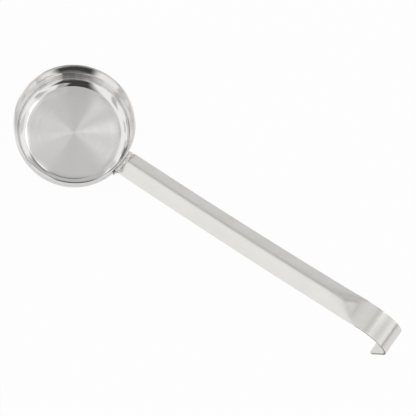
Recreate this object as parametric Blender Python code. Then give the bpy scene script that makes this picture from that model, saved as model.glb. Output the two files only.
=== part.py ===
# Pizza sauce ladle: a flat-bottomed stainless steel bowl with a pressed strip handle welded to its side.
#
# Metres, +Z up. The origin is the middle of the bowl's underside, the bowl opens upwards and the handle
# leaves it towards +X, rising to a hook. The ladle is the same on both sides of the XZ plane.

import math

import bmesh
import bpy
from mathutils import Matrix


# Driving dimensions of the bowl. The corner between its floor and its wall is a part of an ellipse, with
# these half widths, that leaves a faint crease at the floor's edge because it starts CORNER_START round it.
RIM_RADIUS = 0.0508
BOWL_HEIGHT = 0.0364
BOWL_SHEET = 0.0011
LIP_DEPTH = 0.0010
LIP_FLARE = 0.00055
WALL_BULGE = 0.0003
STEP_LEVEL = 0.0093
STEP_HEIGHT = 0.0036
STEP_WIDTH = 0.0013
CORNER_WIDTH = 0.0110
CORNER_HEIGHT = 0.0056
CORNER_START = math.radians(20)
FLOOR_RING_SHARE = 0.5

# Driving dimensions of the handle, along the middle of its sheet
HANDLE_SHEET = 0.0015
SEAT_GAP = 0.0003
FLANGE_FOOT_DEPTH = 0.0185
FLANGE_LENGTH = 0.0132
FLANGE_WIDTH = 0.0222
NECK_RADIUS = 0.0083
RISE_ANGLE = math.radians(23.3)
HANDLE_RUN = 0.2377
HANDLE_BOW_RADIUS = 1.57
STRIP_WIDTH = 0.0207
RIDGE_HEIGHT = 0.0073
RIDGE_ROUND = 0.0016
RIDGE_START = 0.0026
RIDGE_LEAD_IN = 0.0048
RIDGE_END_MARGIN = 0.0120
RIDGE_FADE = 0.0230
HOOK_WIDTH = 0.0212
HOOK_RADIUS = 0.0211
HOOK_TURN = math.radians(123.3)
HOOK_END = 0.0288
TIP_CORNER_RADIUS = 0.0030
FLANGE_CORNER_RADIUS = 0.0030

# Driving dimensions of the weld
WELD_WIDTH = 0.0204
WELD_REACH = 0.0024
WELD_SINK = 0.0006
WELD_CROWN = 0.0004

# Fineness of the round shapes
BOWL_SEGMENTS = 72
CORNER_SEGMENTS = 7
STEP_ROWS = 4
WALL_ROWS = 4
STRIP_COLUMNS = 12
CORNER_ROWS = 4
FLANGE_ROWS = 3
NECK_ROWS = 14
RUN_ROWS = 14
FADE_ROWS = 8
HOOK_ROWS = 22
WELD_SEGMENTS = 20
WELD_SIDE_ROWS = 4


# Values that follow from the driving dimensions
FLOOR_LEVEL = BOWL_SHEET
STEP_TOP_LEVEL = STEP_LEVEL + STEP_HEIGHT
WALL_TOP_LEVEL = BOWL_HEIGHT - LIP_DEPTH
LIP_INNER_RADIUS = RIM_RADIUS - BOWL_SHEET * math.cos(math.atan(LIP_FLARE / LIP_DEPTH))
WALL_TOP_RADIUS = LIP_INNER_RADIUS - LIP_FLARE
OUTER_WALL_RADIUS = WALL_TOP_RADIUS + WALL_BULGE + BOWL_SHEET


def smooth(start, end, value):
    share = min(max((value - start) / (end - start), 0.0), 1.0)
    return share * share * (3 - 2 * share)


def spread(start, end, count):
    """Evenly spaced values from start up to, but without, end."""
    return [start + (end - start) * step / count for step in range(count)]


def clear_scene():
    for item in list(bpy.data.objects):
        bpy.data.objects.remove(item, do_unlink=True)


def make_material(name, colour, roughness):
    material = bpy.data.materials.new(name)
    material.use_nodes = True
    shader = material.node_tree.nodes["Principled BSDF"]
    shader.inputs["Base Color"].default_value = (*colour, 1.0)
    shader.inputs["Metallic"].default_value = 1.0
    shader.inputs["Roughness"].default_value = roughness
    return material


def make_object(name, mesh_builder, material):
    mesh = bpy.data.meshes.new(name)
    mesh_builder.normal_update()
    mesh_builder.to_mesh(mesh)
    mesh_builder.free()
    mesh.materials.append(material)
    mesh.shade_smooth()
    mesh.set_sharp_from_angle(angle=math.radians(35))
    item = bpy.data.objects.new(name, mesh)
    bpy.context.scene.collection.objects.link(item)
    return item


def add_thickness(item, thickness, offset):
    wall = item.modifiers.new("sheet", "SOLIDIFY")
    wall.thickness = thickness
    wall.offset = offset
    wall.use_even_offset = True
    wall.use_quality_normals = True


# Bowl

def wall_radius(level):
    """Inner radius of the wall, which bulges a little above its step."""
    share = max(0.0, (level - STEP_TOP_LEVEL) / (WALL_TOP_LEVEL - STEP_TOP_LEVEL))
    bulge = 4 * WALL_BULGE * share * (1 - share)
    step = STEP_WIDTH * (1 - smooth(STEP_LEVEL, STEP_TOP_LEVEL, level))
    return WALL_TOP_RADIUS + bulge - step


def bowl_profile():
    """Inner face of the bowl from the middle of the floor to the lip, as (radius, level) pairs."""
    corner_middle = wall_radius(STEP_LEVEL) - CORNER_WIDTH
    corner_top = FLOOR_LEVEL + CORNER_HEIGHT * math.cos(CORNER_START)
    profile = [(0.0, FLOOR_LEVEL), (FLOOR_RING_SHARE * corner_middle, FLOOR_LEVEL)]
    for turn in spread(CORNER_START, 0.5 * math.pi, CORNER_SEGMENTS):
        profile.append((corner_middle + CORNER_WIDTH * math.sin(turn),
                        corner_top - CORNER_HEIGHT * math.cos(turn)))
    levels = [corner_top]
    levels += spread(STEP_LEVEL, STEP_TOP_LEVEL, STEP_ROWS)
    levels += spread(STEP_TOP_LEVEL, WALL_TOP_LEVEL, WALL_ROWS)
    levels.append(WALL_TOP_LEVEL)
    profile += [(wall_radius(level), level) for level in levels]
    return profile + [(LIP_INNER_RADIUS, BOWL_HEIGHT)]


def make_bowl(material):
    builder = bmesh.new()
    verts = [builder.verts.new((radius, 0.0, level)) for radius, level in bowl_profile()]
    edges = [builder.edges.new(pair) for pair in zip(verts, verts[1:])]
    bmesh.ops.spin(builder, geom=verts + edges, cent=(0, 0, 0), axis=(0, 0, 1),
                   angle=2 * math.pi, steps=BOWL_SEGMENTS, use_merge=True)
    bmesh.ops.remove_doubles(builder, verts=builder.verts, dist=1e-6)
    bmesh.ops.recalc_face_normals(builder, faces=builder.faces)
    floor = min(builder.faces, key=lambda face: face.calc_center_median().z)
    if floor.normal.z > 0:
        bmesh.ops.reverse_faces(builder, faces=builder.faces)
    bowl = make_object("bowl", builder, material)
    add_thickness(bowl, BOWL_SHEET, 1.0)
    return bowl


# Handle

def handle_sections():
    """The strip's run as (length, turn) pairs, turn counted downwards, from the flange's foot to the tip."""
    neck_turn = 0.5 * math.pi - RISE_ANGLE
    return [
        (FLANGE_LENGTH, 0.0),
        (NECK_RADIUS * neck_turn, neck_turn),
        (HANDLE_RUN, -HANDLE_RUN / HANDLE_BOW_RADIUS),
        (HOOK_RADIUS * HOOK_TURN, HOOK_TURN),
        (HOOK_END, 0.0),
    ]


def section_starts():
    starts = [0.0]
    for length, _ in handle_sections():
        starts.append(starts[-1] + length)
    return starts


def handle_line(distance):
    """Place and heading of the strip's middle line at a distance from the flange's foot."""
    x = OUTER_WALL_RADIUS + SEAT_GAP + 0.5 * HANDLE_SHEET
    z = BOWL_HEIGHT - FLANGE_FOOT_DEPTH
    heading = 0.5 * math.pi
    left = distance
    for length, turn in handle_sections():
        part = min(left, length)
        if turn:
            radius = length / turn
            new_heading = heading - part / radius
            x += radius * (math.sin(heading) - math.sin(new_heading))
            z += radius * (math.cos(new_heading) - math.cos(heading))
            heading = new_heading
        else:
            x += part * math.cos(heading)
            z += part * math.sin(heading)
        left -= part
        if left <= 0:
            break
    return x, z, heading


def rounded_corner(distance_to_end, radius):
    """How much narrower each side of the strip is near an end with rounded corners."""
    if distance_to_end >= radius:
        return 0.0
    return radius - math.sqrt(radius ** 2 - (radius - distance_to_end) ** 2)


def ridge_limits():
    """Where the pressed ridge starts, is full, starts to fade and has gone."""
    _, _, run, hook, _, _ = section_starts()
    lead_in = run - RIDGE_START
    fade_end = hook - RIDGE_END_MARGIN
    return lead_in, lead_in + RIDGE_LEAD_IN, fade_end - RIDGE_FADE, fade_end


def strip_width(distance):
    starts = section_starts()
    lead_in, _, fade, fade_end = ridge_limits()
    width = FLANGE_WIDTH + (STRIP_WIDTH - FLANGE_WIDTH) * smooth(starts[1], lead_in, distance)
    width += (HOOK_WIDTH - STRIP_WIDTH) * smooth(fade, fade_end, distance)
    width -= 2 * rounded_corner(distance, FLANGE_CORNER_RADIUS)
    width -= 2 * rounded_corner(starts[-1] - distance, TIP_CORNER_RADIUS)
    return width


def ridge_height(distance):
    lead_in, full, fade, fade_end = ridge_limits()
    return RIDGE_HEIGHT * smooth(lead_in, full, distance) * (1 - smooth(fade, fade_end, distance))


def ridge_shape(share):
    """Height of the ridge at a share of the half width: straight faces that meet in a rounded top."""
    round_share = RIDGE_ROUND / (0.5 * STRIP_WIDTH)
    blunt = math.sqrt(share ** 2 + round_share ** 2) - round_share
    return 1 - blunt / (math.sqrt(1 + round_share ** 2) - round_share)


def strip_point(distance, side):
    """A point of the strip's middle sheet; side runs from -1 to 1 across it."""
    x, z, heading = handle_line(distance)
    half_width = 0.5 * strip_width(distance)
    lift = ridge_height(distance) * ridge_shape(abs(side))
    lead_in, full, _, _ = ridge_limits()
    straight = smooth(lead_in, full, distance)
    across = side * half_width
    wrap_angle = across / x
    wrapped = (x * math.cos(wrap_angle), x * math.sin(wrap_angle), z)
    pressed = (x - lift * math.sin(heading), across, z + lift * math.cos(heading))
    return [start + (end - start) * straight for start, end in zip(wrapped, pressed)]


def corner_rows(radius):
    """Distances from a rounded end at which its outline turns by equal angles."""
    return [radius * (1 - math.cos(0.5 * math.pi * step / CORNER_ROWS)) for step in range(CORNER_ROWS + 1)]


def handle_rows():
    """Distances along the strip where it has a row of points, close together where it bends."""
    _, neck, _, hook, hook_end, tip = section_starts()
    _, full, fade, fade_end = ridge_limits()
    rows = corner_rows(FLANGE_CORNER_RADIUS)[:-1]
    rows += spread(FLANGE_CORNER_RADIUS, neck, FLANGE_ROWS)
    rows += spread(neck, full, NECK_ROWS)
    rows += spread(full, fade, RUN_ROWS)
    rows += spread(fade, fade_end, FADE_ROWS)
    rows += spread(fade_end, hook, FLANGE_ROWS)
    rows += spread(hook, hook_end, HOOK_ROWS)
    rows += spread(hook_end, tip - TIP_CORNER_RADIUS, FLANGE_ROWS)
    rows += [tip - distance for distance in reversed(corner_rows(TIP_CORNER_RADIUS))]
    return rows


def make_handle(material):
    rows = handle_rows()
    builder = bmesh.new()
    bmesh.ops.create_grid(builder, x_segments=len(rows) - 1, y_segments=STRIP_COLUMNS, size=1.0)
    for vert in builder.verts:
        row = round((vert.co.x + 1) / 2 * (len(rows) - 1))
        vert.co = strip_point(rows[row], vert.co.y)
    bmesh.ops.recalc_face_normals(builder, faces=builder.faces)
    handle = make_object("handle", builder, material)
    add_thickness(handle, HANDLE_SHEET, 0.0)
    return handle


# Weld

def neck_face():
    """Middle and radius of the round face that the neck turns to the bowl."""
    x, z, heading = handle_line(FLANGE_LENGTH)
    middle_x = x + NECK_RADIUS * math.sin(heading)
    middle_z = z - NECK_RADIUS * math.cos(heading)
    return middle_x, middle_z, NECK_RADIUS + 0.5 * HANDLE_SHEET


def weld_section():
    """Outline of the bead: the neck's face on one side, a crown on top and the lip on the other side."""
    middle_x, middle_z, face_radius = neck_face()
    seat_radius = face_radius + SEAT_GAP
    foot = BOWL_HEIGHT - WELD_SINK
    foot_turn = math.asin((foot - middle_z) / seat_radius)
    top_turn = math.acos((middle_x - RIM_RADIUS - WELD_REACH) / seat_radius)
    section = []
    for step in range(WELD_SIDE_ROWS + 1):
        turn = foot_turn + (top_turn - foot_turn) * step / WELD_SIDE_ROWS
        section.append((middle_x - seat_radius * math.cos(turn), middle_z + seat_radius * math.sin(turn)))
    inner = RIM_RADIUS + SEAT_GAP
    top_radius, top_level = section[-1]
    section.append((0.5 * (inner + top_radius) - WELD_CROWN, 0.5 * (foot + top_level) + WELD_CROWN))
    section.append((inner, foot + WELD_CROWN))
    return section


def make_weld(material):
    builder = bmesh.new()
    verts = [builder.verts.new((radius, 0.0, level)) for radius, level in weld_section()]
    face = builder.faces.new(verts)
    half_turn = 0.5 * WELD_WIDTH / RIM_RADIUS
    bmesh.ops.rotate(builder, verts=verts, cent=(0, 0, 0), matrix=Matrix.Rotation(-half_turn, 3, "Z"))
    bmesh.ops.spin(builder, geom=[face], cent=(0, 0, 0), axis=(0, 0, 1),
                   angle=2 * half_turn, steps=WELD_SEGMENTS)
    bmesh.ops.recalc_face_normals(builder, faces=builder.faces)
    return make_object("weld_bead", builder, material)


clear_scene()
POLISHED_STEEL = make_material("polished_stainless", (0.62, 0.62, 0.60), 0.12)
BRUSHED_STEEL = make_material("brushed_stainless", (0.60, 0.60, 0.58), 0.32)
WELD_STEEL = make_material("weld_metal", (0.55, 0.54, 0.52), 0.38)
make_bowl(POLISHED_STEEL)
make_handle(BRUSHED_STEEL)
make_weld(WELD_STEEL)
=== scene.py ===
import math
from collections import namedtuple

import bmesh
import bpy
from mathutils import Matrix, Vector, noise


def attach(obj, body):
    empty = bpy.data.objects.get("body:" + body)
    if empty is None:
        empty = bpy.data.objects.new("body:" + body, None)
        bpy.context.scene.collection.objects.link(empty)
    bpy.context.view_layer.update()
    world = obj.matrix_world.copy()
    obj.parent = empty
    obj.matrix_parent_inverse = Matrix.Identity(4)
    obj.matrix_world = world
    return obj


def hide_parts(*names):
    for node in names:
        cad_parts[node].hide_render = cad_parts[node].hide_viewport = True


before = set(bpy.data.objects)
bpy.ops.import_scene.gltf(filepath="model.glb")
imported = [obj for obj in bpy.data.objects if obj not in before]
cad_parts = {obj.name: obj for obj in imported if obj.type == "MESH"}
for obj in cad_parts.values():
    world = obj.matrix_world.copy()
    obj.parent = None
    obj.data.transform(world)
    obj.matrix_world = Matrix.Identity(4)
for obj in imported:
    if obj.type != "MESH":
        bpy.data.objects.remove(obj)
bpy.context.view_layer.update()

# Pizza sauce ladle: a polished bowl with a spun floor, a satin strip handle with a pressed ridge, and the
# weld that joins them. Metres, in the frame of the CAD model: the origin is the middle of the bowl's
# underside, +Z points out of its mouth and the handle leaves towards +X.

# Bowl
RIM_RADIUS = 0.0508
BOWL_HEIGHT = 0.0364
BOWL_SHEET = 0.0011
LIP_DEPTH = 0.0010
LIP_FLARE = 0.00055
LIP_ROUND = 0.00025
WALL_BULGE = 0.0003
STEP_LEVEL = 0.0093
STEP_HEIGHT = 0.0036
STEP_WIDTH = 0.0013
CORNER_WIDTH = 0.0110
CORNER_HEIGHT = 0.0056
CORNER_START = math.radians(20)

# Handle. Its run is 0.02 mm shorter than the solid's, so that the smooth hook keeps inside the faceted one.
HANDLE_SHEET = 0.0015
SEAT_GAP = 0.0003
FLANGE_FOOT_DEPTH = 0.0185
FLANGE_LENGTH = 0.0132
FLANGE_WIDTH = 0.0222
NECK_RADIUS = 0.0083
RISE_ANGLE = math.radians(23.3)
HANDLE_RUN = 0.23768
HANDLE_BOW_RADIUS = 1.57
STRIP_WIDTH = 0.0207
RIDGE_HEIGHT = 0.0073
RIDGE_ROUND = 0.0016
RIDGE_START = 0.0026
RIDGE_LEAD_IN = 0.0040
RIDGE_END_MARGIN = 0.0010
RIDGE_FADE = 0.0300
HIP_LENGTH = 0.0175
HIP_SWEEP = 2.0
HIP_SHARPNESS = 2.2
HOOK_WIDTH = 0.0212
HOOK_RADIUS = 0.0211
HOOK_TURN = math.radians(123.3)
HOOK_END = 0.0288
TIP_CORNER_RADIUS = 0.0030
FLANGE_CORNER_RADIUS = 0.0030
EDGE_BREAK = 0.0003
EDGE_BREAK_ANGLE = math.radians(60)

# Weld
WELD_WIDTH = 0.0204
WELD_REACH = 0.0030
WELD_SINK = 0.0006
WELD_CROWN = 0.0004
WELD_CLEARANCE = 0.0001
WELD_RIPPLE_PITCH = 0.0012
WELD_RIPPLE_HEIGHT = 0.00015
WELD_RIPPLE_BOW = 0.0008
WELD_LUMP_SIZE = 0.0031
WELD_LUMPINESS = 0.9

# Finish. The pitches of the grain and of the turning marks are coarser than the real ones, which would be
# too fine to draw. Each wander is how much the marks change on the way round the bowl.
POLISH_ROUGHNESS = 0.05
POLISH_ROUGHNESS_SPREAD = 0.015
POLISH_ANISOTROPY = 0.5
POLISH_PITCH = 0.0006
POLISH_DEPTH = 0.0000015
POLISH_WANDER = 3.0
SPUN_ROUGHNESS = 0.16
SPUN_ROUGHNESS_SPREAD = 0.02
SPUN_ANISOTROPY = 1.0
SPUN_PITCH = 0.0005
SPUN_WANDER = 2.0
SATIN_ROUGHNESS = 0.32
SATIN_ROUGHNESS_SPREAD = 0.03
SATIN_ANISOTROPY = 0.83
GRAIN_PITCH = 0.0003
GRAIN_LENGTH = 0.012
GRAIN_DEPTH = 0.000004
SHEARED_ROUGHNESS = 0.43
SHEARED_ROUGHNESS_SPREAD = 0.07
TEAR_SIZE = 0.0008
TEAR_DEPTH = 0.00002
WELD_ROUGHNESS = 0.30
WELD_ROUGHNESS_SPREAD = 0.08
WELD_TINT_SIZE = 0.0028
WELD_GRAIN_SIZE = 0.0006
WELD_GRAIN_DEPTH = 0.00002
SMUDGE_SIZE = 0.015

# The share by which the polishing marks and the grain change the roughness, the values that noise keeps
# between, and a quarter of a turn, which sets the shine across the marks
MARK_DULLING = 0.2
GRAIN_DULLING = 0.1
NOISE_LOW = 0.3
NOISE_HIGH = 0.7
ACROSS_THE_MARKS = 0.25

# Paper under the ladle
PAPER_SIZE = 4.0
PAPER_GAP = 0.0002
PAPER_FIBRE_SIZE = 0.002
PAPER_ROUGHNESS = 0.9
PAPER_WHITENESS = 0.96
PAPER_MIRRORED_WHITENESS = 0.32

# Camera, solved from the outlines in the photograph
CAMERA_PLACE = (0.1000, -0.1606, 0.8670)
CAMERA_TURN = (0.1409, -0.1566, 0.6554)
CAMERA_LENS = 87.11
CAMERA_SENSOR = 36.0

# The bowl's floor and the strip's edges have their own finish, which is their piece's second material
SECOND_MATERIAL = 1

# Fineness
MERGE_DISTANCE = 1e-6
BOWL_SEGMENTS = 288
FLOOR_STEPS = 12
CORNER_STEPS = 20
FOOT_STEPS = 3
STEP_STEPS = 14
WALL_STEPS = 16
LIP_STEPS = 4
STRIP_COLUMNS = 40
ROUNDED_END_ROWS = 8
FLANGE_ROWS = 6
NECK_ROWS = 44
RIDGE_ROWS = 60
FADE_ROWS = 40
FLAT_ROWS = 8
HOOK_ROWS = 72
TIP_ROWS = 10
EDGE_STEPS = 3
WELD_SEGMENTS = 160
WELD_STEPS = 10


# Small helpers

def srgb(hex_colour):
    """Linear colour of an sRGB hex value."""
    channels = [int(hex_colour[index:index + 2], 16) / 255 for index in (1, 3, 5)]
    linear = [value / 12.92 if value <= 0.04045 else ((value + 0.055) / 1.055) ** 2.4 for value in channels]
    return (*linear, 1.0)


def add_node(tree, kind, settings=None, **links):
    """Adds a node with its properties; each link gives a socket its value or the output that feeds it.

    A link is named after its socket, with underscores for spaces, or i and the socket's number.
    """
    node = tree.nodes.new(kind)
    for name, value in (settings or {}).items():
        setattr(node, name, value)
    for name, value in links.items():
        key = int(name[1:]) if name[0] == "i" and name[1:].isdigit() else name.replace("_", " ")
        socket = node.inputs[key]
        if isinstance(value, bpy.types.NodeSocket):
            tree.links.new(value, socket)
        else:
            socket.default_value = value
    return node


def new_material(name):
    """A material with its node tree and the shader in it."""
    material = bpy.data.materials.new(name)
    material.use_nodes = True
    tree = material.node_tree
    return material, tree, tree.nodes["Principled BSDF"]


def finish_piece(name, builder, materials, node):
    """Turns a finished shape into the piece that takes the place of a CAD node."""
    mesh = bpy.data.meshes.new(name)
    builder.to_mesh(mesh)
    builder.free()
    for material in materials:
        mesh.materials.append(material)
    mesh.shade_smooth()
    piece = bpy.data.objects.new(name, mesh)
    bpy.context.scene.collection.objects.link(piece)
    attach(piece, "root")
    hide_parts(node)
    return piece


def smooth(start, end, value):
    """Zero up to start and one from end on, with a soft rise between them."""
    share = min(max((value - start) / (end - start), 0.0), 1.0)
    return share * share * (3 - 2 * share)


def spread(start, end, count):
    """Evenly spaced values from start up to, but without, end."""
    return [start + (end - start) * step / count for step in range(count)]


# Bowl

STEP_TOP_LEVEL = STEP_LEVEL + STEP_HEIGHT
WALL_TOP_LEVEL = BOWL_HEIGHT - LIP_DEPTH
LIP_INNER_RADIUS = RIM_RADIUS - BOWL_SHEET * math.cos(math.atan(LIP_FLARE / LIP_DEPTH))
WALL_TOP_RADIUS = LIP_INNER_RADIUS - LIP_FLARE
OUTER_WALL_RADIUS = WALL_TOP_RADIUS + WALL_BULGE + BOWL_SHEET


def wall_radius(level):
    """Inner radius of the wall, which bulges a little above its step."""
    share = max(0.0, (level - STEP_TOP_LEVEL) / (WALL_TOP_LEVEL - STEP_TOP_LEVEL))
    bulge = 4 * WALL_BULGE * share * (1 - share)
    step = STEP_WIDTH * (1 - smooth(STEP_LEVEL, STEP_TOP_LEVEL, level))
    return WALL_TOP_RADIUS + bulge - step


CORNER_MIDDLE_RADIUS = wall_radius(STEP_LEVEL) - CORNER_WIDTH
FLOOR_RADIUS = CORNER_MIDDLE_RADIUS + CORNER_WIDTH * math.sin(CORNER_START)


def inner_profile():
    """Inner face from the middle of the floor to the lip, as (radius, level) pairs."""
    corner_top = BOWL_SHEET + CORNER_HEIGHT * math.cos(CORNER_START)
    profile = [(radius, BOWL_SHEET) for radius in spread(0.0, FLOOR_RADIUS, FLOOR_STEPS)]
    for turn in spread(CORNER_START, 0.5 * math.pi, CORNER_STEPS):
        profile.append((CORNER_MIDDLE_RADIUS + CORNER_WIDTH * math.sin(turn),
                        corner_top - CORNER_HEIGHT * math.cos(turn)))
    levels = spread(corner_top, STEP_LEVEL, FOOT_STEPS)
    levels += spread(STEP_LEVEL, STEP_TOP_LEVEL, STEP_STEPS)
    levels += spread(STEP_TOP_LEVEL, WALL_TOP_LEVEL, WALL_STEPS)
    levels.append(WALL_TOP_LEVEL)
    profile += [(wall_radius(level), level) for level in levels]
    return profile + [(LIP_INNER_RADIUS, BOWL_HEIGHT)]


def profile_directions(profile):
    """Unit vectors that point out of the sheet, square to the profile."""
    directions = []
    last = len(profile) - 1
    for index in range(len(profile)):
        before = profile[max(index - 1, 0)]
        after = profile[min(index + 1, last)]
        along = Vector((after[0] - before[0], after[1] - before[1])).normalized()
        directions.append((along.y, -along.x))
    return directions


def bowl_section():
    """Whole outline of the sheet: along the inside, over the lip and back along the outside."""
    inside = inner_profile()
    directions = profile_directions(inside)
    outside = [(radius + BOWL_SHEET * way[0], level + BOWL_SHEET * way[1])
               for (radius, level), way in zip(inside, directions)]
    return inside + outside[::-1]


def on_lip(place):
    """Whether a point of the bowl is on one of the lip's two edges."""
    return place.xy.length > LIP_INNER_RADIUS - MERGE_DISTANCE and place.z > BOWL_HEIGHT - BOWL_SHEET


def make_bowl(wall_material, floor_material):
    """One sheet, swept round the bowl's axis, whose lip has rounded edges."""
    builder = bmesh.new()
    verts = [builder.verts.new((max(radius, 0.0), 0.0, level)) for radius, level in bowl_section()]
    edges = [builder.edges.new(pair) for pair in zip(verts, verts[1:])]
    bmesh.ops.spin(builder, geom=verts + edges, cent=(0, 0, 0), axis=(0, 0, 1),
                   angle=2 * math.pi, steps=BOWL_SEGMENTS, use_merge=True)
    bmesh.ops.remove_doubles(builder, verts=builder.verts, dist=MERGE_DISTANCE)
    bmesh.ops.recalc_face_normals(builder, faces=builder.faces)
    lip = [edge for edge in builder.edges if all(on_lip(vert.co) for vert in edge.verts)]
    around_lip = [edge for edge in lip
                  if abs(edge.verts[0].co.z - edge.verts[1].co.z) < MERGE_DISTANCE]
    bmesh.ops.bevel(builder, geom=around_lip, offset=LIP_ROUND, offset_type="OFFSET", segments=LIP_STEPS,
                    profile=0.5, affect="EDGES", material=-1)
    for face in builder.faces:
        middle = face.calc_center_median()
        if middle.xy.length < FLOOR_RADIUS:
            face.material_index = SECOND_MATERIAL
    finish_piece("polished_bowl", builder, [wall_material, floor_material], "bowl")


# Handle

def handle_sections():
    """The strip's run as (length, turn) pairs, turn counted downwards, from the flange's foot to the tip."""
    neck_turn = 0.5 * math.pi - RISE_ANGLE
    return [
        (FLANGE_LENGTH, 0.0),
        (NECK_RADIUS * neck_turn, neck_turn),
        (HANDLE_RUN, -HANDLE_RUN / HANDLE_BOW_RADIUS),
        (HOOK_RADIUS * HOOK_TURN, HOOK_TURN),
        (HOOK_END, 0.0),
    ]


def section_starts():
    """Distances along the strip at which its sections start, and its whole length."""
    starts = [0.0]
    for length, _ in handle_sections():
        starts.append(starts[-1] + length)
    return starts


def handle_line(distance):
    """Place and heading of the strip's middle line at a distance from the flange's foot."""
    x = OUTER_WALL_RADIUS + SEAT_GAP + 0.5 * HANDLE_SHEET
    z = BOWL_HEIGHT - FLANGE_FOOT_DEPTH
    heading = 0.5 * math.pi
    left = distance
    for length, turn in handle_sections():
        part = min(left, length)
        if turn:
            radius = length / turn
            new_heading = heading - part / radius
            x += radius * (math.sin(heading) - math.sin(new_heading))
            z += radius * (math.cos(new_heading) - math.cos(heading))
            heading = new_heading
        else:
            x += part * math.cos(heading)
            z += part * math.sin(heading)
        left -= part
        if left <= 0:
            break
    return x, z, heading


def ridge_limits():
    """Where the pressed ridge starts, is full, starts to fade and has gone."""
    _, _, run, hook, _, _ = section_starts()
    lead_in = run - RIDGE_START
    fade_end = hook - RIDGE_END_MARGIN
    return lead_in, lead_in + RIDGE_LEAD_IN, fade_end - RIDGE_FADE, fade_end


def rounded_corner(distance_to_end, radius):
    """How much narrower each side of the strip is near an end with rounded corners."""
    if distance_to_end >= radius:
        return 0.0
    return radius - math.sqrt(radius ** 2 - (radius - distance_to_end) ** 2)


def strip_width(distance):
    """Width of the strip, which is wider at the flange and the hook and has rounded ends."""
    starts = section_starts()
    lead_in, _, fade, fade_end = ridge_limits()
    width = FLANGE_WIDTH + (STRIP_WIDTH - FLANGE_WIDTH) * smooth(starts[1], lead_in, distance)
    width += (HOOK_WIDTH - STRIP_WIDTH) * smooth(fade, fade_end, distance)
    width -= 2 * rounded_corner(distance, FLANGE_CORNER_RADIUS)
    width -= 2 * rounded_corner(starts[-1] - distance, TIP_CORNER_RADIUS)
    return width


def ridge_shape(share):
    """Height of the ridge at a share of the half width: straight faces that meet in a rounded top."""
    round_share = RIDGE_ROUND / (0.5 * STRIP_WIDTH)
    blunt = math.sqrt(share ** 2 + round_share ** 2) - round_share
    return 1 - blunt / (math.sqrt(1 + round_share ** 2) - round_share)


def ridge_lift(distance, side):
    """Height of the ridge, which starts with a ramp and ends like a soft hipped roof with a swept foot."""
    lead_in, full, _, fade_end = ridge_limits()
    face = ridge_shape(abs(side))
    if face <= 0 or distance >= fade_end:
        return 0.0
    hip = ((fade_end - distance) / HIP_LENGTH) ** HIP_SWEEP
    roof = (face ** -HIP_SHARPNESS + hip ** -HIP_SHARPNESS) ** (-1 / HIP_SHARPNESS)
    return RIDGE_HEIGHT * smooth(lead_in, full, distance) * roof


def strip_point(distance, side):
    """A point of the strip's middle sheet; side runs from -1 to 1 across it."""
    x, z, heading = handle_line(distance)
    lift = ridge_lift(distance, side)
    across = 0.5 * side * strip_width(distance)
    wrap_angle = across / x
    wrapped = Vector((x * math.cos(wrap_angle), x * math.sin(wrap_angle), z))
    lead_in, full, _, _ = ridge_limits()
    place = wrapped.lerp(Vector((x, across, z)), smooth(lead_in, full, distance))
    return place + lift * Vector((-math.sin(heading), 0.0, math.cos(heading)))


def corner_rows(radius, count):
    """Distances from a rounded end at which its outline turns by equal angles."""
    return [radius * (1 - math.cos(0.5 * math.pi * step / count)) for step in range(count + 1)]


def handle_rows():
    """Distances along the strip where it has a row of points, close together where it bends."""
    _, neck, run, hook, hook_end, tip = section_starts()
    _, full, fade, fade_end = ridge_limits()
    rows = corner_rows(FLANGE_CORNER_RADIUS, ROUNDED_END_ROWS)[:-1]
    rows += spread(FLANGE_CORNER_RADIUS, neck, FLANGE_ROWS)
    rows += spread(neck, full, NECK_ROWS)
    rows += spread(full, fade, RIDGE_ROWS)
    rows += spread(fade, fade_end, FADE_ROWS)
    rows += spread(fade_end, hook, FLAT_ROWS)
    rows += spread(hook, hook_end, HOOK_ROWS)
    rows += spread(hook_end, tip - TIP_CORNER_RADIUS, TIP_ROWS)
    rows += [tip - distance for distance in reversed(corner_rows(TIP_CORNER_RADIUS, ROUNDED_END_ROWS))]
    return rows


def distance_along(vert, rows):
    """Distance along the strip of a point of the flat grid, which runs from -1 to 1."""
    return rows[round((vert.co.x + 1) / 2 * (len(rows) - 1))]


def make_handle(face_material, edge_material):
    """One strip, shaped from a flat grid and then given its thickness and its broken edges."""
    rows = handle_rows()
    builder = bmesh.new()
    bmesh.ops.create_grid(builder, x_segments=len(rows) - 1, y_segments=STRIP_COLUMNS, size=1.0)
    grain = builder.loops.layers.uv.new("grain")
    for face in builder.faces:
        for loop in face.loops:
            loop[grain].uv = (distance_along(loop.vert, rows), 0.5 * loop.vert.co.y * STRIP_WIDTH)
    for vert in builder.verts:
        vert.co = strip_point(distance_along(vert, rows), vert.co.y)
    bmesh.ops.recalc_face_normals(builder, faces=builder.faces)
    handle = finish_piece("satin_handle", builder, [face_material, edge_material], "handle")
    sheet = handle.modifiers.new("sheet", "SOLIDIFY")
    sheet.thickness = HANDLE_SHEET
    sheet.offset = 0.0
    sheet.use_even_offset = True
    sheet.use_quality_normals = True
    sheet.material_offset_rim = SECOND_MATERIAL
    edge = handle.modifiers.new("broken_edge", "BEVEL")
    edge.width = EDGE_BREAK
    edge.segments = EDGE_STEPS
    edge.limit_method = "ANGLE"
    edge.angle_limit = EDGE_BREAK_ANGLE


# Weld

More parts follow.
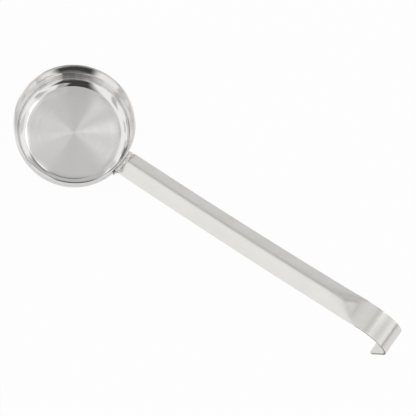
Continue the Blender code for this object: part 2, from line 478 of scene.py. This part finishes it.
def weld_seat():
    """Outline of the bead's side against the neck, from its foot up, as (radius, level) pairs."""
    x, z, heading = handle_line(FLANGE_LENGTH)
    middle_x = x + NECK_RADIUS * math.sin(heading)
    middle_z = z - NECK_RADIUS * math.cos(heading)
    seat_radius = NECK_RADIUS + 0.5 * HANDLE_SHEET + WELD_CLEARANCE
    foot_turn = math.asin((BOWL_HEIGHT - WELD_SINK - middle_z) / seat_radius)
    top_turn = math.acos((middle_x - RIM_RADIUS - WELD_REACH) / seat_radius)
    turns = spread(foot_turn, top_turn, WELD_STEPS) + [top_turn]
    return [(middle_x - seat_radius * math.cos(turn), middle_z + seat_radius * math.sin(turn))
            for turn in turns]


def weld_crown(turn, lump):
    """Outline of the bead's free face at a turn round the bowl, from the neck to the lip."""
    neck_side = weld_seat()[-1]
    lip_side = (RIM_RADIUS + WELD_CLEARANCE, BOWL_HEIGHT - WELD_SINK + WELD_CROWN)
    along = Vector((lip_side[0] - neck_side[0], lip_side[1] - neck_side[1]))
    out = Vector((along.y, -along.x)).normalized()
    points = []
    for step in range(1, WELD_STEPS):
        share = step / WELD_STEPS
        arch = 4 * share * (1 - share)
        bowed_turn = turn + arch * WELD_RIPPLE_BOW / RIM_RADIUS
        ripple = abs(math.sin(math.pi * bowed_turn * RIM_RADIUS / WELD_RIPPLE_PITCH))
        height = arch * (WELD_CROWN * lump + WELD_RIPPLE_HEIGHT * ripple)
        place = Vector(neck_side) + share * along + height * out
        points.append((place.x, place.y))
    return points + [lip_side]


def make_weld(material):
    """One bead, swept along the flange, with ripples and lumps on its free face."""
    half_turn = 0.5 * WELD_WIDTH / RIM_RADIUS
    seat = weld_seat()
    first = seat + weld_crown(-half_turn, 1.0)
    builder = bmesh.new()
    verts = [builder.verts.new((radius, 0.0, level)) for radius, level in first]
    face = builder.faces.new(verts)
    bmesh.ops.rotate(builder, verts=verts, cent=(0, 0, 0), matrix=Matrix.Rotation(-half_turn, 3, "Z"))
    bmesh.ops.spin(builder, geom=[face], cent=(0, 0, 0), axis=(0, 0, 1), angle=2 * half_turn,
                   steps=WELD_SEGMENTS)
    bmesh.ops.recalc_face_normals(builder, faces=builder.faces)
    for vert in builder.verts:
        turn = math.atan2(vert.co.y, vert.co.x)
        radius = vert.co.xy.length
        number = min(range(len(first)), key=lambda index: math.dist(first[index], (radius, vert.co.z)))
        if number < len(seat):
            continue
        lump = 1 + WELD_LUMPINESS * noise.noise((turn * RIM_RADIUS / WELD_LUMP_SIZE, 0.0, 0.0))
        new_radius, new_level = weld_crown(turn, lump)[number - len(seat)]
        vert.co = (new_radius * math.cos(turn), new_radius * math.sin(turn), new_level)
    finish_piece("rippled_weld", builder, [material], "weld_bead")


# Materials

def noise_at(tree, place, scale=1.0, detail=3.0, roughness=0.5):
    """Noise between zero and one at a place in a material."""
    return add_node(tree, "ShaderNodeTexNoise", Vector=place, Scale=scale, Detail=detail,
                    Roughness=roughness).outputs[0]


def smudges(tree, place, size):
    """Soft blotches of about a size."""
    return noise_at(tree, place, scale=1 / size, detail=4.0, roughness=0.6)


def ring_tangent(tree, place):
    """Direction of turning marks round the bowl's axis."""
    turned = add_node(tree, "ShaderNodeVectorMath", {"operation": "CROSS_PRODUCT"}, i1=place)
    turned.inputs[0].default_value = (0.0, 0.0, 1.0)
    along = add_node(tree, "ShaderNodeVectorMath", {"operation": "NORMALIZE"}, i0=turned.outputs[0])
    return along.outputs[0]


def turning_marks(tree, place, pitch, wander):
    """Noise in rings round the bowl's axis, a pitch apart, that changes slowly on the way round."""
    flat = add_node(tree, "ShaderNodeVectorMath", {"operation": "MULTIPLY"}, i0=place)
    flat.inputs[1].default_value = (1.0, 1.0, 0.0)
    radius = add_node(tree, "ShaderNodeVectorMath", {"operation": "LENGTH"}, i0=flat.outputs[0])
    way = add_node(tree, "ShaderNodeVectorMath", {"operation": "NORMALIZE"}, i0=flat.outputs[0])
    level = add_node(tree, "ShaderNodeSeparateXYZ", i0=place)
    across = add_node(tree, "ShaderNodeCombineXYZ", X=radius.outputs["Value"], Y=level.outputs["Z"])
    rings = add_node(tree, "ShaderNodeVectorMath", {"operation": "SCALE"}, i0=across.outputs[0],
                     Scale=1 / pitch)
    drift = add_node(tree, "ShaderNodeVectorMath", {"operation": "SCALE"}, i0=way.outputs[0], Scale=wander)
    both = add_node(tree, "ShaderNodeVectorMath", {"operation": "ADD"}, i0=rings.outputs[0],
                    i1=drift.outputs[0])
    return noise_at(tree, both.outputs[0])


def ranged(tree, value, low, high):
    """A noise value, which keeps near a half, spread between two values."""
    return add_node(tree, "ShaderNodeMapRange", Value=value, From_Min=NOISE_LOW, From_Max=NOISE_HIGH,
                    To_Min=low, To_Max=high).outputs[0]


def around(tree, value, middle, extent):
    """A noise value spread evenly to both sides of a middle value."""
    return ranged(tree, value, middle - extent, middle + extent)


def tint_between(tree, shader, value, dark, light):
    """Colours a shader between two tints where a value goes from zero to one."""
    tint = add_node(tree, "ShaderNodeMix", {"data_type": "RGBA"}, i0=value, i6=srgb(dark), i7=srgb(light))
    tree.links.new(tint.outputs[2], shader.inputs["Base Color"])


def bump(tree, shader, value, depth):
    """Gives a shader's surface a fine relief of a depth."""
    relief = add_node(tree, "ShaderNodeBump", Height=value, Distance=depth, Strength=1.0)
    tree.links.new(relief.outputs[0], shader.inputs["Normal"])


def shine_across(tree, shader, direction, strength):
    """Draws the highlights out across marks that run in a direction."""
    tree.links.new(direction, shader.inputs["Tangent"])
    shader.inputs["Anisotropic"].default_value = strength
    shader.inputs["Anisotropic Rotation"].default_value = ACROSS_THE_MARKS


def polished_stainless():
    """Pressed bowl wall: mirror polished, with faint rings left by the polishing and a few dull smudges."""
    material, tree, shader = new_material("mirror_polished_stainless_sheet")
    place = add_node(tree, "ShaderNodeTexCoord").outputs["Object"]
    marks = turning_marks(tree, place, POLISH_PITCH, POLISH_WANDER)
    dull = smudges(tree, place, SMUDGE_SIZE)
    tint_between(tree, shader, ranged(tree, dull, 0.0, 1.0), "#F6F4F3", "#F9F8F7")
    rough = add_node(tree, "ShaderNodeMath", {"operation": "MULTIPLY"},
                     i0=around(tree, marks, 1.0, MARK_DULLING),
                     i1=around(tree, dull, POLISH_ROUGHNESS, POLISH_ROUGHNESS_SPREAD))
    tree.links.new(rough.outputs[0], shader.inputs["Roughness"])
    bump(tree, shader, marks, POLISH_DEPTH)
    shader.inputs["Metallic"].default_value = 1.0
    shine_across(tree, shader, ring_tangent(tree, place), POLISH_ANISOTROPY)
    return material


def spun_stainless():
    """Bowl floor: fine rings from spinning, which draw the light out into rays through the middle."""
    material, tree, shader = new_material("spun_stainless_floor")
    place = add_node(tree, "ShaderNodeTexCoord").outputs["Object"]
    marks = turning_marks(tree, place, SPUN_PITCH, SPUN_WANDER)
    tint_between(tree, shader, ranged(tree, marks, 0.0, 1.0), "#EAE9E8", "#F0EFEE")
    tree.links.new(around(tree, marks, SPUN_ROUGHNESS, SPUN_ROUGHNESS_SPREAD), shader.inputs["Roughness"])
    shader.inputs["Metallic"].default_value = 1.0
    shine_across(tree, shader, ring_tangent(tree, place), SPUN_ANISOTROPY)
    return material


def satin_stainless():
    """Strip of the handle: fine grain along its length, from the belt that ground it."""
    material, tree, shader = new_material("satin_stainless_strip")
    along = add_node(tree, "ShaderNodeUVMap", {"uv_map": "grain"}).outputs[0]
    stretched = add_node(tree, "ShaderNodeVectorMath", {"operation": "MULTIPLY"}, i0=along)
    stretched.inputs[1].default_value = (1 / GRAIN_LENGTH, 1 / GRAIN_PITCH, 0.0)
    grain = noise_at(tree, stretched.outputs[0])
    place = add_node(tree, "ShaderNodeTexCoord").outputs["Object"]
    dull = smudges(tree, place, SMUDGE_SIZE)
    tint_between(tree, shader, ranged(tree, grain, 0.0, 1.0), "#F5F2EE", "#FCFAF7")
    rough = add_node(tree, "ShaderNodeMath", {"operation": "MULTIPLY"},
                     i0=around(tree, grain, 1.0, GRAIN_DULLING),
                     i1=around(tree, dull, SATIN_ROUGHNESS, SATIN_ROUGHNESS_SPREAD))
    tree.links.new(rough.outputs[0], shader.inputs["Roughness"])
    bump(tree, shader, grain, GRAIN_DEPTH)
    shader.inputs["Metallic"].default_value = 1.0
    lengthwise = add_node(tree, "ShaderNodeTangent", {"direction_type": "UV_MAP", "uv_map": "grain"})
    shine_across(tree, shader, lengthwise.outputs[0], SATIN_ANISOTROPY)
    return material


def sheared_edge_with_painted_shade():
    """Edges of the strip: duller than its faces where the shear tore the steel, and darkened with painted
    shade.
    """
    material, tree, shader = new_material("sheared_edge_painted_shade")
    place = add_node(tree, "ShaderNodeTexCoord").outputs["Object"]
    tear = smudges(tree, place, TEAR_SIZE)
    # The dark edge tint is painted shade that stands for the shade the edges reflect; the noise only varies
    # it.
    tint_between(tree, shader, ranged(tree, tear, 0.0, 1.0), "#85807C", "#A29D99")
    rough = around(tree, tear, SHEARED_ROUGHNESS, SHEARED_ROUGHNESS_SPREAD)
    tree.links.new(rough, shader.inputs["Roughness"])
    bump(tree, shader, tear, TEAR_DEPTH)
    shader.inputs["Metallic"].default_value = 1.0
    return material


def weld_metal():
    """Weld bead: bright ripples with straw and brown heat tints in soft blotches."""
    material, tree, shader = new_material("stainless_weld_metal")
    place = add_node(tree, "ShaderNodeTexCoord").outputs["Object"]
    tint = smudges(tree, place, WELD_TINT_SIZE)
    tint_between(tree, shader, ranged(tree, tint, 0.0, 1.0), "#ECE5DE", "#FCFAF8")
    grain = smudges(tree, place, WELD_GRAIN_SIZE)
    tree.links.new(around(tree, grain, WELD_ROUGHNESS, WELD_ROUGHNESS_SPREAD), shader.inputs["Roughness"])
    bump(tree, shader, grain, WELD_GRAIN_DEPTH)
    shader.inputs["Metallic"].default_value = 1.0
    return material


def white_paper():
    """Smooth white studio paper that shows as white, and keeps a faint shadow of the ladle."""
    material, tree, shader = new_material("smooth_white_studio_paper")
    place = add_node(tree, "ShaderNodeTexCoord").outputs["Object"]
    fibres = smudges(tree, place, PAPER_FIBRE_SIZE)
    tint_between(tree, shader, fibres, "#F6F6F6", "#F8F8F8")
    shader.inputs["Roughness"].default_value = PAPER_ROUGHNESS
    glow = add_node(tree, "ShaderNodeEmission", Strength=1.0)
    path = add_node(tree, "ShaderNodeLightPath")
    mirrored = add_node(tree, "ShaderNodeMath", {"operation": "ADD", "use_clamp": True},
                        i0=path.outputs["Is Glossy Ray"], i1=path.outputs["Is Transmission Ray"])
    direct = add_node(tree, "ShaderNodeMath", {"operation": "MULTIPLY"}, i0=path.outputs["Is Camera Ray"],
                      i1=PAPER_WHITENESS)
    share = add_node(tree, "ShaderNodeMath", {"operation": "MULTIPLY_ADD"}, i0=mirrored.outputs[0],
                     i1=PAPER_MIRRORED_WHITENESS, i2=direct.outputs[0])
    mixed = add_node(tree, "ShaderNodeMixShader", i0=share.outputs[0], i1=shader.outputs[0],
                     i2=glow.outputs[0])
    tree.links.new(mixed.outputs[0], tree.nodes["Material Output"].inputs["Surface"])
    return material


# Stage

def make_floor(material):
    """The paper just below the bowl's underside."""
    builder = bmesh.new()
    bmesh.ops.create_grid(builder, x_segments=1, y_segments=1, size=PAPER_SIZE,
                          matrix=Matrix.Translation((0.0, 0.0, -PAPER_GAP)))
    mesh = bpy.data.meshes.new("floor")
    builder.to_mesh(mesh)
    builder.free()
    mesh.materials.append(material)
    floor = bpy.data.objects.new("floor", mesh)
    bpy.context.scene.collection.objects.link(floor)


def make_camera():
    """The camera that took the photograph."""
    data = bpy.data.cameras.new("camera")
    data.lens = CAMERA_LENS
    data.sensor_width = CAMERA_SENSOR
    camera = bpy.data.objects.new("camera", data)
    camera.location = CAMERA_PLACE
    camera.rotation_euler = CAMERA_TURN
    bpy.context.scene.collection.objects.link(camera)
    bpy.context.scene.camera = camera


# Studio: a white tent, seen from below as a flat round map whose middle is straight up and whose edge is
# the horizon. Each patch of the map is a rectangle: its middle (x, y), the direction of its length in
# degrees from +X, its half length and half width, the width of its soft edge, and its level against white.
# A later patch lies over the earlier ones.
Patch = namedtuple("Patch", "x y direction half_length half_width soft_edge level")
STUDIO_WHITE = 0.88
STUDIO_ROOF = (-0.11, 0.17)
ROOF_HALF_LENGTH = 0.22
ROOF_HALF_WIDTH = 0.27
ROOF_SOFTNESS = 0.25
ROOF_LEVEL = 0.76
ROOF_SEAM_DIRECTIONS = (25, 70, 170, -145, -95, -20)
ROOF_SEAM_REACH = (0.04, 0.26)
ROOF_SEAM_HALF_WIDTH = 0.024
ROOF_SEAM_SOFTNESS = 0.026
ROOF_SEAM_LEVEL = 0.50
STUDIO_PATCHES = {
    "open side": Patch(0.38, -0.37, -65, 0.45, 0.33, 0.20, 0.05),
    "ground beyond the open side": Patch(0.60, -0.70, -50, 0.08, 0.25, 0.04, 0.15),
    "curtain beside the open side": Patch(0.45, -0.05, -60, 0.20, 0.20, 0.10, 0.85),
    "edge of the curtain": Patch(0.35, -0.17, -40, 0.20, 0.05, 0.04, 0.40),
    "grey side": Patch(-0.32, 0.65, 145, 0.28, 0.50, 0.10, 0.50),
    "dark end of the grey side": Patch(-0.05, 0.60, 0, 0.11, 0.10, 0.10, 0.30),
    "foot of the grey side": Patch(-0.76, 0.60, 142, 0.04, 0.19, 0.03, 0.15),
    "right end of that foot": Patch(-0.55, 0.79, 125, 0.02, 0.12, 0.03, 0.27),
    "vent in the roof": Patch(-0.22, 0.38, 120, 0.10, 0.09, 0.05, 0.15),
    "narrow lamp": Patch(-0.10, 0.38, 90, 0.07, 0.03, 0.03, 1.40),
    "wide lamp": Patch(0.08, 0.33, 40, 0.08, 0.12, 0.07, 1.25),
    "ray of the wide lamp": Patch(0.08, 0.38, 46, 0.10, 0.04, 0.03, 2.30),
    "small lamp": Patch(0.22, 0.22, 5, 0.17, 0.05, 0.06, 1.45),
    "left seam": Patch(-0.30, -0.65, -90, 0.27, 0.07, 0.06, 0.50),
    "far fold": Patch(0.57, 0.60, 60, 0.20, 0.14, 0.05, 0.65),
    "right fold": Patch(0.60, 0.07, 5, 0.20, 0.07, 0.06, 0.50),
    "left fold": Patch(-0.90, -0.12, 180, 0.10, 0.12, 0.04, 0.55),
    "dim cloth on the left": Patch(-0.62, 0.21, 180, 0.24, 0.06, 0.06, 0.62),
    "near fold": Patch(-0.63, -0.35, -150, 0.07, 0.09, 0.05, 0.55),
    "gap at the foot": Patch(0.91, -0.33, -20, 0.04, 0.10, 0.05, 0.0),
    "foot behind the hook": Patch(0.97, 0.15, 100, 0.20, 0.016, 0.02, 0.20),
}


def soft_window(tree, value, half_width, soft_edge):
    """One within a half width of zero and nothing beyond it."""
    away = add_node(tree, "ShaderNodeMath", {"operation": "ABSOLUTE"}, i0=value)
    return add_node(tree, "ShaderNodeMapRange", {"interpolation_type": "SMOOTHSTEP"}, Value=away.outputs[0],
                    From_Min=half_width - 0.5 * soft_edge, From_Max=half_width + 0.5 * soft_edge,
                    To_Min=1.0, To_Max=0.0).outputs[0]


def roof_patches():
    """The dimmer roof and the seams that meet in it, as patches of the studio's map."""
    x, y = STUDIO_ROOF
    patches = [Patch(x, y, 0, ROOF_HALF_LENGTH, ROOF_HALF_WIDTH, ROOF_SOFTNESS, ROOF_LEVEL)]
    start, end = ROOF_SEAM_REACH
    middle = 0.5 * (start + end)
    for direction in ROOF_SEAM_DIRECTIONS:
        turn = math.radians(direction)
        seam_x = x + middle * math.cos(turn)
        seam_y = y + middle * math.sin(turn)
        patches.append(Patch(seam_x, seam_y, direction, 0.5 * (end - start), ROOF_SEAM_HALF_WIDTH,
                             ROOF_SEAM_SOFTNESS, ROOF_SEAM_LEVEL))
    return patches


def patch_over(tree, way, level, patch):
    """The studio's level in each direction after a patch is laid over it."""
    moved = add_node(tree, "ShaderNodeVectorMath", {"operation": "SUBTRACT"}, i0=way)
    moved.inputs[1].default_value = (patch.x, patch.y, 0.0)
    turned = add_node(tree, "ShaderNodeVectorRotate", {"rotation_type": "Z_AXIS"},
                      Vector=moved.outputs[0], Angle=math.radians(-patch.direction))
    split = add_node(tree, "ShaderNodeSeparateXYZ", i0=turned.outputs[0])
    share = add_node(tree, "ShaderNodeMath", {"operation": "MULTIPLY"},
                     i0=soft_window(tree, split.outputs["X"], patch.half_length, patch.soft_edge),
                     i1=soft_window(tree, split.outputs["Y"], patch.half_width, patch.soft_edge))
    return add_node(tree, "ShaderNodeMix", i0=share.outputs[0], i2=level, i3=patch.level).outputs[0]


def make_world():
    """Lights the ladle with the studio's map, which the camera sees as plain white."""
    world = bpy.data.worlds.new("studio")
    world.use_nodes = True
    tree = world.node_tree
    way = add_node(tree, "ShaderNodeTexCoord").outputs["Generated"]
    level = STUDIO_WHITE
    for patch in roof_patches() + list(STUDIO_PATCHES.values()):
        level = patch_over(tree, way, level, patch)
    path = add_node(tree, "ShaderNodeLightPath")
    seen = add_node(tree, "ShaderNodeMix", i0=path.outputs["Is Camera Ray"], i2=level, i3=1.0).outputs[0]
    tree.links.new(seen, tree.nodes["Background"].inputs["Color"])
    bpy.context.scene.world = world


make_bowl(polished_stainless(), spun_stainless())
make_handle(satin_stainless(), sheared_edge_with_painted_shade())
make_weld(weld_metal())
make_floor(white_paper())
make_camera()
make_world()
bpy.context.scene.view_settings.view_transform = "Standard"
